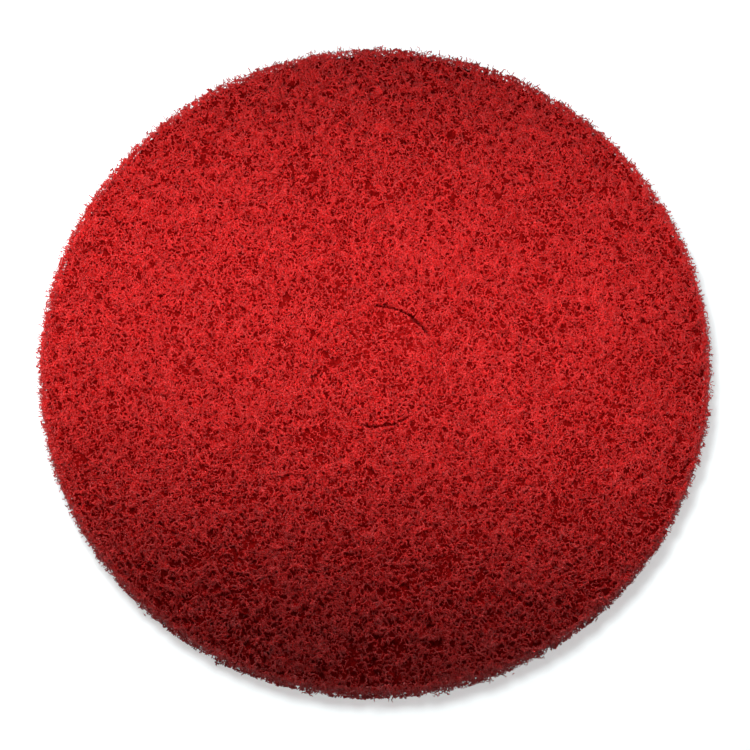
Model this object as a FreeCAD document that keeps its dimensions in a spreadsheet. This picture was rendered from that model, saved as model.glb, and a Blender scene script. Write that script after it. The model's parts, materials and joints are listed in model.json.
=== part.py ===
import FreeCAD, Part

"""Floor pad for a rotary floor machine: a round, lofty, non-woven disc with a die-cut centre plug.

The pad is cut from one thick web of bonded fibre. A steel-rule die cuts the outer circle right
through, and the same stroke slits a smaller circle at the middle, leaving a few uncut bridges that
hold the centre plug until somebody pushes it out to make room for a pad holder's centre lock.

Frame: millimetres, +Z up, origin at the middle of the face that lies on the floor.
"""

import math
import os

import Sketcher

# alias, value, what it is
SIZES = [
    ("pad_diameter", 431.8, "17 in, the nominal size of the machine that takes the pad"),
    ("pad_thickness", 25.4, "1 in"),
    ("rim_round", 2.0, "radius of the cut rim's soft edge at both faces"),
    ("hole_diameter", 82.55, "3 1/4 in, the centre hole once the plug is out"),
    ("plug_diameter", 80.55, "the hole less the width of the die's blade all round"),
    ("bridge_count", 4, "uncut places in the slit"),
    ("bridge_spread", 11.0, "degrees of the slit that one uncut place fills, about 8 mm"),
    ("bridge_turn", 35.0, "degrees from +X to the middle of the first uncut place"),
    ("bridge_gap", 0.3, "between a bridge and the plug, where it tears"),
]

ORIGIN = FreeCAD.Vector(0, 0, 0)
UP = FreeCAD.Vector(0, 0, 1)
# the rim's soft edge takes less than this share of the ring's volume
ROUNDING_SHARE = 0.005
# mm3 of overlap that is only rounding error
NO_VOLUME = 1e-6


def make_sheet(doc):
    """Puts the driving dimensions in a spreadsheet, one aliased cell to each."""
    sheet = doc.addObject("Spreadsheet::Sheet", "Sizes")
    for row, (alias, value, note) in enumerate(SIZES, start=1):
        sheet.set(f"A{row}", alias)
        sheet.set(f"B{row}", str(value))
        sheet.set(f"C{row}", note)
        sheet.setAlias(f"B{row}", alias)
    doc.recompute()
    return sheet


def floor_plane(body):
    """The body's own XY plane, which is the floor."""
    return next(plane for plane in body.Origin.OriginFeatures if plane.Role == "XY_Plane")


def circles_sketch(body, sheet, name, diameters):
    """A sketch on the floor plane of circles about the origin, each diameter bound to a cell."""
    sketch = body.newObject("Sketcher::SketchObject", name)
    sketch.AttachmentSupport = [(floor_plane(body), "")]
    sketch.MapMode = "FlatFace"
    for alias in diameters:
        diameter = sheet.getPropertyByName(alias)
        circle = sketch.addGeometry(Part.Circle(ORIGIN, UP, diameter / 2), False)
        sketch.addConstraint(Sketcher.Constraint("Coincident", circle, 3, -1, 1))
        limit = sketch.addConstraint(Sketcher.Constraint("Diameter", circle, diameter))
        sketch.setExpression(f"Constraints[{limit}]", f"Sizes.{alias}")
    return sketch


def make_disc(doc, sheet, label, diameters):
    """A body that extrudes circles about the origin through the web's thickness."""
    body = doc.addObject("PartDesign::Body", label)
    body.Label = label
    web = body.newObject("PartDesign::Pad", label + "_web")
    web.Profile = circles_sketch(body, sheet, label + "_outline", diameters)
    web.setExpression("Length", "Sizes.pad_thickness")
    doc.recompute()
    return body


def make_pad_ring(doc, sheet):
    """The working pad: everything outside the slit, with a soft edge round both faces."""
    body = make_disc(doc, sheet, "pad_ring", ["pad_diameter", "hole_diameter"])
    web = body.Tip
    rims = [
        f"Edge{number}"
        for number, edge in enumerate(web.Shape.Edges, start=1)
        if isinstance(edge.Curve, Part.Circle) and math.isclose(edge.Curve.Radius, sheet.pad_diameter / 2)
    ]
    soft_edge = body.newObject("PartDesign::Fillet", "pad_ring_soft_edge")
    soft_edge.Base = (web, rims)
    soft_edge.setExpression("Radius", "Sizes.rim_round")
    return body


def make_centre_plug(doc, sheet):
    """The knock-out disc inside the slit, which the machine's centre lock takes the place of."""
    return make_disc(doc, sheet, "centre_plug", ["plug_diameter"])


def make_bridge(doc, number):
    """One uncut place of the web: a sector as wide as the hole, less everything inside the slit."""
    sector = doc.addObject("Part::Cylinder", f"bridge_sector_{number}")
    sector.setExpression("Radius", "Sizes.hole_diameter / 2")
    sector.setExpression("Height", "Sizes.pad_thickness")
    sector.setExpression("Angle", "Sizes.bridge_spread")
    turn = f"Sizes.bridge_turn - Sizes.bridge_spread / 2 + {number} * 360 / Sizes.bridge_count"
    sector.setExpression("Placement.Rotation.Angle", turn)
    inside = doc.addObject("Part::Cylinder", f"bridge_inside_{number}")
    inside.setExpression("Radius", "Sizes.plug_diameter / 2 + Sizes.bridge_gap")
    inside.setExpression("Height", "Sizes.pad_thickness")
    bridge = doc.addObject("Part::Cut", f"bridge_{number}")
    bridge.Base = sector
    bridge.Tool = inside
    return bridge


def make_plug_bridges(doc, sheet):
    """The uncut places, evenly round the slit. They stay with the ring when the plug is pushed out."""
    bridges = doc.addObject("Part::Compound", "plug_bridges")
    bridges.Label = "plug_bridges"
    bridges.Links = [make_bridge(doc, number) for number in range(int(sheet.bridge_count))]
    return bridges


def check(doc, parts, sheet):
    """Stops the build if a feature failed or a piece hasn't the volume that its sizes give."""
    broken = [item.Name for item in doc.Objects if {"Invalid", "Error"} & set(item.State)]
    if broken:
        raise RuntimeError(f"these features failed: {broken}")
    for part in parts:
        if part.Shape.isNull() or not part.Shape.isValid() or not part.Shape.Solids:
            raise RuntimeError(f"{part.Label} has no valid solid")
    ring, plug, bridges = (part.Shape for part in parts)
    quarter_web = math.pi / 4 * sheet.pad_thickness
    square_ring = quarter_web * (sheet.pad_diameter**2 - sheet.hole_diameter**2)
    if not 0 < square_ring - ring.Volume < ROUNDING_SHARE * square_ring:
        raise RuntimeError("the ring's soft edge took away nothing or too much")
    if not math.isclose(plug.Volume, quarter_web * sheet.plug_diameter**2):
        raise RuntimeError("the plug isn't a plain disc")
    if len(bridges.Solids) != int(sheet.bridge_count):
        raise RuntimeError("a bridge is missing")
    if max(plug.common(ring).Volume, plug.common(bridges).Volume) > NO_VOLUME:
        raise RuntimeError("the plug runs into what it slides out of")


def main():
    doc = FreeCAD.newDocument("floor_pad")
    sheet = make_sheet(doc)
    parts = [make_pad_ring(doc, sheet), make_centre_plug(doc, sheet), make_plug_bridges(doc, sheet)]
    doc.recompute()
    check(doc, parts, sheet)
    os.makedirs("parts", exist_ok=True)
    for part in parts:
        part.Shape.exportStep(os.path.join("parts", part.Label + ".step"))
        print(part.Label, "solids", len(part.Shape.Solids), "volume", round(part.Shape.Volume, 1))


main()
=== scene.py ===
import json
import math

import bpy
import numpy as np
from mathutils import Matrix, Vector


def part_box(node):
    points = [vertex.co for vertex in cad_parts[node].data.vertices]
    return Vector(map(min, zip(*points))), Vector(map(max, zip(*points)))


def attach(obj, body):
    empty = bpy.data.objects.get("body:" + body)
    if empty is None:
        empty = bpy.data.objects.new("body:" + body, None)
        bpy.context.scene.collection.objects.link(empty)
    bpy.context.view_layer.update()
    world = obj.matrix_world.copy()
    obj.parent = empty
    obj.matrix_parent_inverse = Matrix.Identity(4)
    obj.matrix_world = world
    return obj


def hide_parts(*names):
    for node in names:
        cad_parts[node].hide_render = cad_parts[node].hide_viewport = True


# A round non-woven floor pad: rough inner webs wrapped in thousands of crimped fibres.

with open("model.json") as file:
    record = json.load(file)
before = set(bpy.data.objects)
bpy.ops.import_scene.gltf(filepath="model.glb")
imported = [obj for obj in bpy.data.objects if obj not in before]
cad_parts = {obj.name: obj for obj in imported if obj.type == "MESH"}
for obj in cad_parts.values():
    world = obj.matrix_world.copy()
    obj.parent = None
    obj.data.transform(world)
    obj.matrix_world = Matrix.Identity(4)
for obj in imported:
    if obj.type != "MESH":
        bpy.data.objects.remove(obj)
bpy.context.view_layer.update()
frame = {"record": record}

MM = 0.001
TURN = 2 * math.pi

# ---- sizes, from the frame ----

PAD_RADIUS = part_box("pad_ring")[1].x
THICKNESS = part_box("pad_ring")[1].z
PLUG_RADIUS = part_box("centre_plug")[1].x
CENTRE_HOLE = next(m for m in frame["record"]["mounts"] if m["name"] == "centre_hole")
HOLE_RADIUS = CENTRE_HOLE["dims"]["r_mm"] * MM

# ---- the fibres ----

FIBRE = 0.55 * MM  # thickness
STEP = 1.0 * MM  # between the points of one fibre
SEGMENTS = 16
PER_PIECE = 1750
TOP_THINNING = 0.15
UNDER_THINNING = 0.5

# ---- the pad's faces ----

DENT = 1.1 * MM
DENT_SWELL = 0.35 * MM
DENT_LUMPS = 0.2 * MM
DENT_BUMPS = 0.85 * MM
RIM_REACH = 3.0 * MM
RIM_DROP = 1.6 * MM
PLUG_LOW_SIDE = math.radians(55)
PLUG_DIP = 2.0 * MM

# ---- the small pits, and where the web is worn more open ----

NO_PITS = math.inf
PIT_DEPTH = 3.0 * MM
PIT_START = 1.9
PIT_SLOPE = 0.3
WORN_PLACE = (17 * MM, 24 * MM)
WORN_REACH = 13 * MM
CENTRE_REACH = 60 * MM
FRONT_START = -60 * MM
FRONT_END = -170 * MM
PLACE_WEAR = 0.9
CENTRE_WEAR = 0.55
FRONT_WEAR = 0.65
PATCH_WEAR = 0.25

# ---- the slit round the plug: from and to in degrees, and how open ----

OPEN_ARCS = ((31, 85, 1.0), (258, 301, 0.6))
ARC_FADE = 6
SLIT_EASE = 0.4 * MM

# ---- the inner webs ----

CORE_PITCH = 2.2 * MM
CORE_ROUGHNESS = 0.7 * MM
CORE_LOW = 2.0 * MM
CORE_HIGH = THICKNESS - 3.9 * MM
CORE_SIDE_GAP = 1.4 * MM
CORE_RIM_GAP = 4.2 * MM
PLUG_CORE_DROP = 0.5 * MM

rng = np.random.default_rng(17)


def make_field(scale, waves=20):
    """A smooth random function of place, about 0 with a spread of 1, with lumps about half of scale wide."""
    heading = rng.uniform(0, TURN, waves)
    pull = TURN / (scale * rng.uniform(0.7, 1.5, waves))
    kx, ky = pull * np.cos(heading), pull * np.sin(heading)
    phase = rng.uniform(0, TURN, waves)

    def field(x, y):
        total = np.zeros(np.shape(x))
        for a, b, c in zip(kx, ky, phase):
            total += np.cos(a * x + b * y + c)
        return total * math.sqrt(2 / waves)

    return field


SWELL = make_field(110 * MM)
LUMPS = make_field(22 * MM)
BUMPS = make_field(9 * MM, waves=30)
THIN_PATCHES = make_field(26 * MM)
THIN_SPOTS = make_field(8 * MM)
PITS = make_field(2.4 * MM, waves=40)
OPEN_PATCHES = make_field(75 * MM)


def top_dent(x, y):
    """How far the loose top surface lies under the web's full thickness."""
    return DENT - DENT_SWELL * SWELL(x, y) - DENT_LUMPS * LUMPS(x, y) - DENT_BUMPS * BUMPS(x, y)


def rim_drop(radius):
    """How far a face curves away close to the rim, as a quarter of an ellipse."""
    t = np.clip((radius - (PAD_RADIUS - RIM_REACH)) / RIM_REACH, 0, 1)
    return RIM_DROP * (1 - np.sqrt(1 - 0.98 * t * t))


def slit_openness(x, y):
    """1 where the slit round the plug is open, 0 where fibres close it."""
    angle = np.degrees(np.arctan2(y, x)) % 360
    total = np.zeros(np.shape(x))
    for start, end, amount in OPEN_ARCS:
        inside = np.clip(np.minimum(angle - start, end - angle) / ARC_FADE + 0.5, 0, 1)
        total = np.maximum(total, amount * inside)
    return total


def wear(x, y):
    """How much more open the web is: at the plug's worn place, round the centre, at the front, in patches."""
    from_place = np.hypot(x - WORN_PLACE[0], y - WORN_PLACE[1]) / WORN_REACH
    from_centre = np.hypot(x, y) / CENTRE_REACH
    to_front = np.clip((FRONT_START - y) / (FRONT_START - FRONT_END), 0, 1)
    near = PLACE_WEAR * np.exp(-(from_place**2)) + CENTRE_WEAR * np.exp(-(from_centre**2))
    return near + FRONT_WEAR * to_front + PATCH_WEAR * OPEN_PATCHES(x, y)


# ---- surfaces that fibres lie on: u and v along it, h out of it ----


def on_ring_top(u, v, h):
    return u, v, THICKNESS - top_dent(u, v) - rim_drop(np.hypot(u, v)) + h


def on_plug_top(u, v, h):
    lean = (u * math.cos(PLUG_LOW_SIDE) + v * math.sin(PLUG_LOW_SIDE)) / PLUG_RADIUS
    return u, v, THICKNESS - top_dent(u, v) - PLUG_DIP * np.clip(lean, 0, 1) + h


def on_under_face(u, v, h):
    return u, v, np.maximum(0.1 * MM, 0.4 * MM + rim_drop(np.hypot(u, v)) - h)


def on_rim(u, v, h):
    side = np.abs(v - THICKNESS / 2) + PAD_RADIUS - THICKNESS / 2
    r = PAD_RADIUS - 0.5 * MM - rim_drop(side) + h
    return r * np.cos(u / PAD_RADIUS), r * np.sin(u / PAD_RADIUS), v


def on_hole_wall(u, v, h):
    r = HOLE_RADIUS + 0.3 * MM - h
    return r * np.cos(u / HOLE_RADIUS), r * np.sin(u / HOLE_RADIUS), v


def on_plug_side(u, v, h):
    r = PLUG_RADIUS - 0.3 * MM + h
    return r * np.cos(u / PLUG_RADIUS), r * np.sin(u / PLUG_RADIUS), v


# ---- centre lines of fibres: fibre by point by (u, v, h) ----


def wave(along, low, high):
    """A sine along each fibre, with each fibre's own wavelength and phase."""
    one = (len(along), 1)
    return np.sin(TURN * along / rng.uniform(low, high, one) + rng.uniform(0, TURN, one))


def crimped_lines(starts, segments, step, lean=0.0):
    """Centre lines that curl, climb and dive from starts on a surface."""
    one = (len(starts), 1)
    pace = step * rng.uniform(0.8, 1.2, one)
    along = np.arange(segments + 1)[None, :] * pace
    way = rng.uniform(0, TURN, one) + rng.uniform(0.8, 1.6, one) * wave(along, 4 * MM, 7 * MM)
    way = way + rng.normal(0, 140, one) * along
    pitch = lean + rng.uniform(0.9, 1.5, one) * wave(along, 3.2 * MM, 5.5 * MM)
    u = starts[:, :1] + np.cumsum(np.cos(pitch) * np.cos(way) * pace, axis=1)
    v = starts[:, 1:] + np.cumsum(np.cos(pitch) * np.sin(way) * pace, axis=1)
    h = np.cumsum(np.sin(pitch) * pace, axis=1)
    return np.stack([u, v, h], -1)


def lying_lines(starts, height, segments=SEGMENTS, step=STEP):
    """Crimped lines that lie along the surface, each at its own height in a range."""
    lines = crimped_lines(starts, segments, step)
    level = rng.uniform(*height, len(lines))
    lines[..., 2] += (level - lines[..., 2].mean(axis=1))[:, None]
    return lines


def scatter_flat(count, inner, outer, thinning):
    """Random places on a flat ring, fewer where the web is thin."""
    tries = int(count * 3)
    margin = 8 * MM
    r = np.sqrt(rng.uniform(max(inner - margin, 0) ** 2, (outer + margin) ** 2, tries))
    a = rng.uniform(0, TURN, tries)
    x, y = r * np.cos(a), r * np.sin(a)
    thin = 0.25 * THIN_PATCHES(x, y) + 0.4 * THIN_SPOTS(x, y)
    chosen = rng.uniform(0, 1, tries) < np.clip(0.5 + thinning * thin, 0.03, 1)
    return np.stack([x, y], -1)[chosen][:count]


def scatter_round(count, radius):
    """Random places on an upright wall."""
    margin = 5 * MM
    u = rng.uniform(0, TURN * radius, count)
    return np.stack([u, rng.uniform(-margin, THICKNESS + margin, count)], -1)


def sink_at_pits(lines):
    """Lowers the points at the pits, so that the inner web shows there."""
    u, v = lines[..., 0], lines[..., 1]
    lines[..., 2] -= PIT_DEPTH * np.clip((PITS(u, v) + wear(u, v) - PIT_START) / PIT_SLOPE, 0, 1)


# ---- which points of the lines to keep ----


def off_pits(lines, limit):
    """Which points lie outside the small pits of the top layers."""
    u, v = lines[..., 0], lines[..., 1]
    return PITS(u, v) + wear(u, v) < limit


def ring_keep(lines):
    """Which points lie on the ring, letting ends stand out at its rim and close parts of the slit."""
    one = (len(lines), 1)
    u, v = lines[..., 0], lines[..., 1]
    r = np.hypot(u, v)
    proud = np.minimum(rng.exponential(0.9 * MM, one) - 0.5 * MM, 2.5 * MM)
    openness = slit_openness(u, v)
    closing = (1 - openness) * rng.uniform(0.3 * MM, 2.2 * MM, one)
    edge = HOLE_RADIUS + 0.3 * MM + SLIT_EASE * openness - closing
    return (r < PAD_RADIUS + proud) & (r > edge)


def plug_keep(lines):
    """Which points lie on the plug, letting ends close parts of the slit."""
    u, v = lines[..., 0], lines[..., 1]
    openness = slit_openness(u, v)
    closing = (1 - openness) * rng.uniform(0.3 * MM, 1.8 * MM, (len(lines), 1))
    edge = PLUG_RADIUS - 0.2 * MM - SLIT_EASE * openness + closing
    return np.hypot(u, v) < edge


def wall_keep(lines, margin):
    return (lines[..., 1] > margin) & (lines[..., 1] < THICKNESS - margin)


# ---- meshes ----


def trim(lines, keep):
    """Each line's first run of kept points, moved to the front, and how many points it has."""
    first = np.argmax(keep, axis=1)[:, None]
    order = np.minimum(np.arange(keep.shape[1])[None, :] + first, keep.shape[1] - 1)
    inside = np.take_along_axis(keep, order, axis=1)
    inside &= np.arange(keep.shape[1])[None, :] < keep.shape[1] - first
    lengths = np.cumprod(inside, axis=1).sum(axis=1)
    good = lengths >= 4
    return np.take_along_axis(lines, order[..., None], axis=1)[good], lengths[good]


def sideways(lines):
    """Two unit directions square to each line at each point, the first of them level."""
    tangent = np.gradient(lines, axis=1)
    tangent /= np.maximum(np.linalg.norm(tangent, axis=-1, keepdims=True), 1e-9)
    across = np.stack([-tangent[..., 1], tangent[..., 0], np.zeros(lines.shape[:2])], -1)
    across /= np.maximum(np.linalg.norm(across, axis=-1, keepdims=True), 1e-6)
    return across, np.cross(tangent, across)


def tubes(lines, lengths, thickness):
    """Three-sided tubes along the first points of each line: vertices, quads, caps and each vertex's tone."""
    count, points = lines.shape[:2]
    across, upward = sideways(lines)
    place = np.arange(points)[None, :]
    last = lengths[:, None] - 1
    taper = np.where((place == 0) | (place >= last), 0.5, 1.0)
    beads = np.clip(rng.normal(1, 0.25, (count, points)), 0.6, 1.7)
    radius = (0.6 * thickness * rng.uniform(0.7, 1.3, (count, 1)) * beads * taper)[..., None]
    corners = TURN * (0.25 + np.arange(3) / 3)
    outward = [math.cos(a) * across + math.sin(a) * upward for a in corners]
    rings = np.stack([lines + radius * direction for direction in outward], axis=2)
    used = place <= last
    number = np.cumsum(used.ravel()).reshape(used.shape) - 1
    corner = number[..., None] * 3 + np.arange(3)
    onward = np.roll(corner, -1, axis=2)
    quads = np.stack([corner[:, :-1], onward[:, :-1], onward[:, 1:], corner[:, 1:]], -1)
    quads = quads[used[:, 1:]].reshape(-1, 4)
    caps = np.concatenate([corner[:, 0, ::-1], corner[np.arange(count), lengths - 1]])
    tone = rng.uniform(0.1, 0.9, (count, 1)) + rng.normal(0, 0.15, (count, points))
    return rings[used].reshape(-1, 3), quads, caps, np.repeat(tone[used], 3)


def build_mesh(name, vertices, quads, triangles):
    mesh = bpy.data.meshes.new(name)
    mesh.vertices.add(len(vertices))
    mesh.vertices.foreach_set("co", vertices.astype(np.float32).ravel())
    corners = np.concatenate([quads.ravel(), triangles.ravel()]).astype(np.int32)
    mesh.loops.add(len(corners))
    mesh.loops.foreach_set("vertex_index", corners)
    begins = np.concatenate([np.arange(len(quads)) * 4, len(quads) * 4 + np.arange(len(triangles)) * 3])
    mesh.polygons.add(len(begins))
    mesh.polygons.foreach_set("loop_start", begins.astype(np.int32))
    mesh.update(calc_edges=True)
    mesh.shade_smooth()
    return mesh


def add_piece(name, mesh, body, material):
    mesh.materials.append(material)
    piece = bpy.data.objects.new(name, mesh)
    bpy.context.scene.collection.objects.link(piece)
    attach(piece, body)
    return piece


def fibre_piece(name, body, lines, keep, surface, thickness, material):
    """One piece of fibres laid on a surface, with a random tone held on each fibre's vertices."""
    vertices, quads, caps, tone = tubes(*trim(lines, keep), thickness)
    mesh = build_mesh(name, np.stack(surface(*vertices.T), -1), quads, caps)
    mesh.attributes.new("tone", "FLOAT", "POINT").data.foreach_set("value", tone.astype(np.float32))
    return add_piece(name, mesh, body, material)


# ---- materials ----


def new_material(name):
    material = bpy.data.materials.new(name)
    material.use_nodes = True
    tree = material.node_tree
    return material, tree.nodes, tree.links, tree.nodes["Principled BSDF"]


def red_ramp(nodes, stops):
    ramp = nodes.new("ShaderNodeValToRGB").color_ramp
    while len(ramp.elements) < len(stops):
        ramp.elements.new(0.5)
    for element, (position, colour) in zip(ramp.elements, stops):
        element.position = position
        element.color = (*colour, 1)
    return nodes[-1]


def place_noise(nodes, links, scale, detail):
    """A noise fixed to the object, with features about 1 / scale metres wide."""
    place = nodes.new("ShaderNodeTexCoord")
    noise = nodes.new("ShaderNodeTexNoise")
    noise.inputs["Scale"].default_value = scale
    noise.inputs["Detail"].default_value = detail
    links.new(place.outputs["Object"], noise.inputs["Vector"])
    return noise.outputs["Fac"]


def fibre_material(name, reds):
    """Resin-coated fibre: each fibre has its own red, and the red wanders from place to place."""
    material, nodes, links, shader = new_material(name)
    noise = place_noise(nodes, links, scale=130, detail=4)
    tone = nodes.new("ShaderNodeAttribute")
    tone.attribute_name = "tone"
    mix = nodes.new("ShaderNodeMath")
    mix.operation = "MULTIPLY_ADD"
    mix.inputs[1].default_value = 0.5
    ramp = red_ramp(nodes, reds)
    links.new(tone.outputs["Fac"], mix.inputs[0])
    links.new(noise, mix.inputs[2])
    links.new(mix.outputs["Value"], ramp.inputs["Fac"])
    links.new(ramp.outputs["Color"], shader.inputs["Base Color"])
    shader.inputs["Roughness"].default_value = 0.3
    shader.inputs["Specular IOR Level"].default_value = 0.38
    shader.inputs["Diffuse Roughness"].default_value = 0.8
    return material


def shade_painted_web_material():
    """The inside of the web in a dark red: painted shade for the light lost deep in the web."""
    material, nodes, links, shader = new_material("inner_web")
    noise = place_noise(nodes, links, scale=700, detail=5)
    ramp = red_ramp(nodes, ((0.35, (0.18, 0.003, 0.003)), (0.65, (0.40, 0.007, 0.007))))
    bump = nodes.new("ShaderNodeBump")
    bump.inputs["Distance"].default_value = 0.6 * MM
    links.new(noise, ramp.inputs["Fac"])
    links.new(noise, bump.inputs["Height"])
    links.new(bump.outputs["Normal"], shader.inputs["Normal"])
    links.new(ramp.outputs["Color"], shader.inputs["Base Color"])
    shader.inputs["Roughness"].default_value = 0.8
    shader.inputs["Specular IOR Level"].default_value = 0.0
    return material


COATED_FIBRE = fibre_material(
    "coated_fibre", ((0.2, (0.66, 0.007, 0.007)), (0.6, (0.74, 0.011, 0.011)), (0.95, (0.84, 0.018, 0.018)))
)
# The deep layer's fibres are a darker copy of the coated fibre: their red is painted shade for the light that
# reaches less far into the web.
SHADE_PAINTED_DEEP_FIBRE = fibre_material(
    "shade_painted_deep_fibre", ((0.2, (0.56, 0.007, 0.007)), (0.6, (0.68, 0.011, 0.011)), (0.95, (0.80, 0.017, 0.017)))
)
# The inner webs' dark red is painted shade, not a darker dye.
SHADE_PAINTED_INNER_WEB = shade_painted_web_material()

# ---- the inner webs ----


def zip_rings(first, second, base_a, base_b):
    """Triangles between two rings of first and second evenly spaced vertices."""
    out = []
    a_events = (np.arange(first) + 0.5) / first
    b_events = (np.arange(second) + 0.5) / second
    if first > 1:
        j = np.searchsorted(b_events, a_events) % second
        i = np.arange(first)
        out.append(np.stack([base_a + i, base_a + (i + 1) % first, base_b + j], -1))
    if second > 1:
        i = np.searchsorted(a_events, b_events, side="right") % first
        j = np.arange(second)
        out.append(np.stack([base_b + (j + 1) % second, base_b + j, base_a + i], -1))
    return np.concatenate(out)


def revolve(profile, pitch, closed):
    """A solid of rings round Z, each vertex about pitch from the next: vertices and triangles."""
    vertices, starts, counts = [], [], []
    for r, z in profile:
        count = max(1, round(TURN * r / pitch)) if r > pitch / 4 else 1
        angle = TURN * np.arange(count) / count
        starts.append(sum(counts))
        counts.append(count)
        vertices.append(np.stack([r * np.cos(angle), r * np.sin(angle), np.full(count, z)], -1))
    pairs = list(zip(range(len(profile) - 1), range(1, len(profile))))
    if closed:
        pairs.append((len(profile) - 1, 0))
    faces = [zip_rings(counts[a], counts[b], starts[a], starts[b]) for a, b in pairs]
    return np.concatenate(vertices), np.concatenate(faces)


def slab_profile(inner, outer, low, high, pitch):
    """Half the outline of a flat ring or disc: (radius, z) from the inner edge of its underside outwards."""
    across = max(2, round((outer - inner) / pitch))
    tall = max(2, round((high - low) / pitch))
    out = [(inner + (outer - inner) * k / across, low) for k in range(across)]
    out += [(outer, low + (high - low) * k / tall) for k in range(tall)]
    out += [(outer - (outer - inner) * k / across, high) for k in range(across)]
    if inner > 0:
        out += [(inner, high - (high - low) * k / tall) for k in range(tall)]
    else:
        out += [(0.0, high)]
    return out


def core_mesh(name, inner, outer, high):
    """The web behind the outer fibres: a rough solid, lower where the face dips."""
    low = CORE_LOW
    vertices, faces = revolve(slab_profile(inner, outer, low, high, CORE_PITCH), CORE_PITCH, inner > 0)
    x, y, z = vertices.T
    upper = np.clip((z - low) / (high - low), 0, 1)
    z = z - upper * top_dent(x, y) + rng.normal(0, CORE_ROUGHNESS, len(z))
    spread = 1 + rng.normal(0, 0.3 * MM, len(z)) / np.maximum(np.hypot(x, y), 5 * MM)
    vertices = np.stack([x * spread, y * spread, np.maximum(z, 0.4 * MM)], -1)
    return build_mesh(name, vertices, np.zeros((0, 4), int), faces[:, ::-1])


def add_core(name, body, inner, outer, high, nodes):
    core = add_piece(name, core_mesh(name, inner, outer, high), body, SHADE_PAINTED_INNER_WEB)
    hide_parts(*nodes)


def add_cores():
    ring_inner, ring_outer = HOLE_RADIUS + CORE_SIDE_GAP, PAD_RADIUS - CORE_RIM_GAP
    add_core("ring_inner_web", "pad", ring_inner, ring_outer, CORE_HIGH, ("pad_ring", "plug_bridges"))
    plug_outer, plug_high = PLUG_RADIUS - CORE_SIDE_GAP, CORE_HIGH - PLUG_CORE_DROP
    add_core("plug_inner_web", "plug", 0, plug_outer, plug_high, ("centre_plug",))


# ---- the layers of fibres ----

# (name, height range, pieces on the ring, fibres on the plug, where pits start, coarseness, material)
TOP_LAYERS = (
    ("deep", (-3.5 * MM, -2.1 * MM), 5, 483, NO_PITS, 1.6, SHADE_PAINTED_DEEP_FIBRE),
    ("middle", (-1.8 * MM, -0.9 * MM), 9, 840, 1.75, 1.0, COATED_FIBRE),
    ("outer", (-1.1 * MM, -0.2 * MM), 9, 840, 1.6, 1.0, COATED_FIBRE),
)
SINKING_LAYER = "deep"


def add_top_piece(name, body, starts, inside, surface, layer):
    label, height, _, _, pit_start, coarse, material = layer
    lines = lying_lines(starts, height, step=coarse * STEP)
    keep = inside(lines) & off_pits(lines, pit_start)
    if label == SINKING_LAYER:
        sink_at_pits(lines)
    fibre_piece(name, body, lines, keep, surface, coarse * FIBRE, material)


def add_tops():
    for layer in TOP_LAYERS:
        label, pieces, plug_fibres = layer[0], layer[2], layer[3]
        for k in range(pieces):
            starts = scatter_flat(PER_PIECE, HOLE_RADIUS, PAD_RADIUS, TOP_THINNING)
            add_top_piece(f"ring_top_{label}_{k + 1}", "pad", starts, ring_keep, on_ring_top, layer)
        starts = scatter_flat(plug_fibres, 0, PLUG_RADIUS, TOP_THINNING)
        add_top_piece(f"plug_top_{label}", "plug", starts, plug_keep, on_plug_top, layer)


def add_slit_closing():
    """Short fibres of the ring that reach into the slit where it looks closed."""
    starts = scatter_flat(3600, PLUG_RADIUS + 6 * MM, HOLE_RADIUS - 6 * MM, UNDER_THINNING)
    lines = lying_lines(starts, (-20 * MM, -3.0 * MM), segments=8)
    one = (len(lines), 1)
    r = np.hypot(lines[..., 0], lines[..., 1])
    closed = slit_openness(lines[..., 0], lines[..., 1]) < rng.uniform(0.05, 0.6, one)
    overhang = rng.uniform(0.4 * MM, 1.6 * MM, one)
    keep = closed & (r > PLUG_RADIUS - overhang) & (r < HOLE_RADIUS + 2 * MM)
    fibre_piece("slit_closing_fibres", "pad", lines, keep, on_ring_top, 1.3 * FIBRE, COATED_FIBRE)


def add_undersides():
    coarse = 1.2 * FIBRE
    for k in range(4):
        starts = scatter_flat(PER_PIECE, HOLE_RADIUS, PAD_RADIUS, UNDER_THINNING)
        lines = lying_lines(starts, (-1.8 * MM, -0.3 * MM), step=1.4 * STEP)
        name = f"ring_under_{k + 1}"
        fibre_piece(name, "pad", lines, ring_keep(lines), on_under_face, coarse, COATED_FIBRE)
    starts = scatter_flat(330, 0, PLUG_RADIUS, UNDER_THINNING)
    lines = lying_lines(starts, (-1.6 * MM, 0.0), step=1.5 * STEP)
    fibre_piece("plug_under", "plug", lines, plug_keep(lines), on_under_face, coarse, COATED_FIBRE)


# (name, height range, coarseness)
RIM_LAYERS = (
    ("deep", (-4.0 * MM, -2.2 * MM), 1.2),
    ("outer_1", (-2.2 * MM, -0.2 * MM), 1.0),
    ("outer_2", (-2.0 * MM, 0.2 * MM), 1.0),
)
FRONT = 0.75 * TURN
LOOSE_ENDS_FROM_FRONT = (math.radians(35), math.radians(75))
LOOSE_ENDS_REACH = (1.8 * MM, 4.2 * MM)


def add_rim():
    for label, height, coarse in RIM_LAYERS:
        lines = lying_lines(scatter_round(PER_PIECE, PAD_RADIUS), height)
        keep = wall_keep(lines, 0.5 * MM)
        fibre_piece(f"rim_{label}", "pad", lines, keep, on_rim, coarse * FIBRE, COATED_FIBRE)


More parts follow.
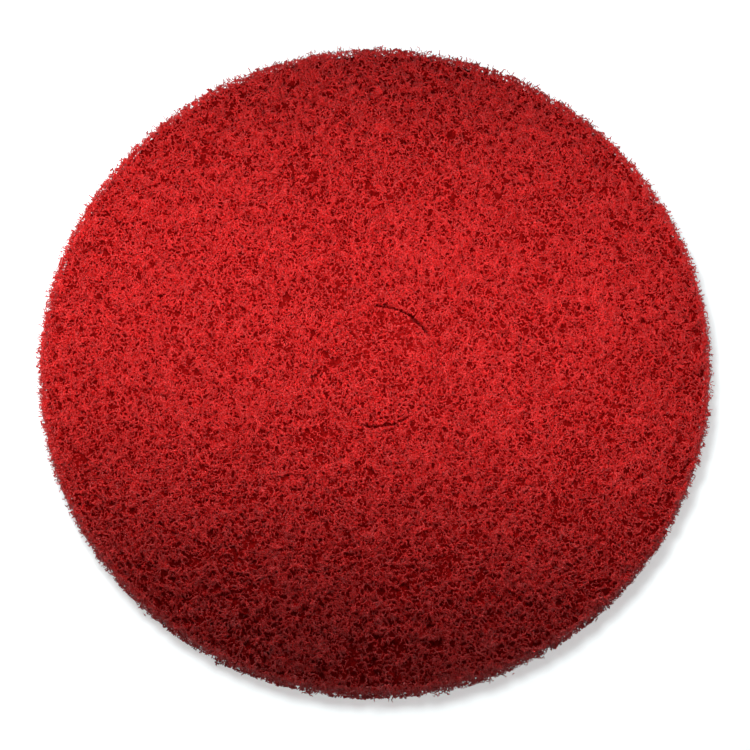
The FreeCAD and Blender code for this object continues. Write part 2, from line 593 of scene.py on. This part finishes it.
def add_loose_ends():
    """Ends that stand out of the rim, shorter at the front."""
    lines = crimped_lines(scatter_round(3600, PAD_RADIUS), 10, 0.7 * MM, lean=1.0)
    lines[..., 2] += rng.uniform(-3.2 * MM, -1.0 * MM, (len(lines), 1))
    from_front = np.abs(lines[..., 0] / PAD_RADIUS - FRONT)
    reach = np.interp(from_front, LOOSE_ENDS_FROM_FRONT, LOOSE_ENDS_REACH)
    keep = wall_keep(lines, -0.3 * MM) & (lines[..., 1] > 8 * MM) & (lines[..., 2] < reach)
    fibre_piece("rim_loose_ends", "pad", lines, keep, on_rim, 0.85 * FIBRE, COATED_FIBRE)


def add_slit_walls():
    for name, body, radius, surface in (
        ("hole_wall", "pad", HOLE_RADIUS, on_hole_wall),
        ("plug_side", "plug", PLUG_RADIUS, on_plug_side),
    ):
        lines = lying_lines(scatter_round(900, radius), (-1.8 * MM, -0.6 * MM))
        fibre_piece(name, body, lines, wall_keep(lines, 1.5 * MM), surface, FIBRE, COATED_FIBRE)


# ---- floor, lights, camera ----


def add_floor():
    """A pale floor that glows a little, for itself only."""
    bpy.ops.mesh.primitive_plane_add(size=8)
    floor = bpy.context.object
    floor.name = "floor"
    material, _, _, shader = new_material("floor")
    shader.inputs["Base Color"].default_value = (0.48, 0.54, 0.55, 1)
    shader.inputs["Roughness"].default_value = 0.9
    shader.inputs["Emission Color"].default_value = (1, 1, 1, 1)
    shader.inputs["Emission Strength"].default_value = 0.53
    floor.data.materials.append(material)
    return floor


def add_light(name, place, tilt, energy):
    light = bpy.data.lights.new(name, "AREA")
    light.energy = energy
    lamp = bpy.data.objects.new(name, light)
    lamp.location = place
    lamp.rotation_euler = [math.radians(angle) for angle in tilt]
    lamp.visible_camera = False
    bpy.context.scene.collection.objects.link(lamp)
    return lamp, light


def add_lights(floor):
    """A strip over the pad's far half, and a disc high up that lights only the floor."""
    _, strip = add_light("strip", (-0.105, 0.048, 0.14), (0, 0, -9), 1.05)
    strip.shape = "RECTANGLE"
    strip.size = 0.68
    strip.size_y = 0.26
    sweep_lamp, sweep = add_light("sweep", (-0.22, 0.19, 1.4), (-8, -9, 0), 22)
    sweep.shape = "DISK"
    sweep.size = 0.5
    only_floor = bpy.data.collections.new("floor_only")
    only_floor.objects.link(floor)
    sweep_lamp.light_linking.receiver_collection = only_floor
    floor.light_linking.receiver_collection = only_floor


def add_world():
    """A white studio that shows only in reflections."""
    world = bpy.data.worlds.new("studio")
    world.use_nodes = True
    background = world.node_tree.nodes["Background"]
    background.inputs["Color"].default_value = (1, 1, 1, 1)
    background.inputs["Strength"].default_value = 2.1
    bpy.context.scene.world = world
    world.cycles_visibility.diffuse = False


CAMERA_ELEVATION = math.radians(74.0)
CAMERA_ROLL = math.radians(-2.8)
CAMERA_DISTANCE = 3.5
CAMERA_SENSOR = 36
VIEW_WIDTH = 484.5 * MM
CAMERA_TARGET = Vector((0.0, -3.5 * MM, THICKNESS / 2))


def add_camera():
    camera_data = bpy.data.cameras.new("camera")
    camera_data.sensor_width = CAMERA_SENSOR
    camera_data.lens = CAMERA_SENSOR * CAMERA_DISTANCE / VIEW_WIDTH
    camera = bpy.data.objects.new("camera", camera_data)
    toward = Vector((0, -math.cos(CAMERA_ELEVATION), math.sin(CAMERA_ELEVATION)))
    aim = (-toward).to_track_quat("-Z", "Y").to_matrix() @ Matrix.Rotation(CAMERA_ROLL, 3, "Z")
    camera.location = CAMERA_TARGET + CAMERA_DISTANCE * toward
    camera.rotation_euler = aim.to_euler()
    bpy.context.scene.collection.objects.link(camera)
    bpy.context.scene.camera = camera
    bpy.context.scene.view_settings.view_transform = "Standard"


# ---- build ----

add_cores()
add_tops()
add_slit_closing()
add_undersides()
add_rim()
add_loose_ends()
add_slit_walls()
add_lights(add_floor())
add_world()
add_camera()
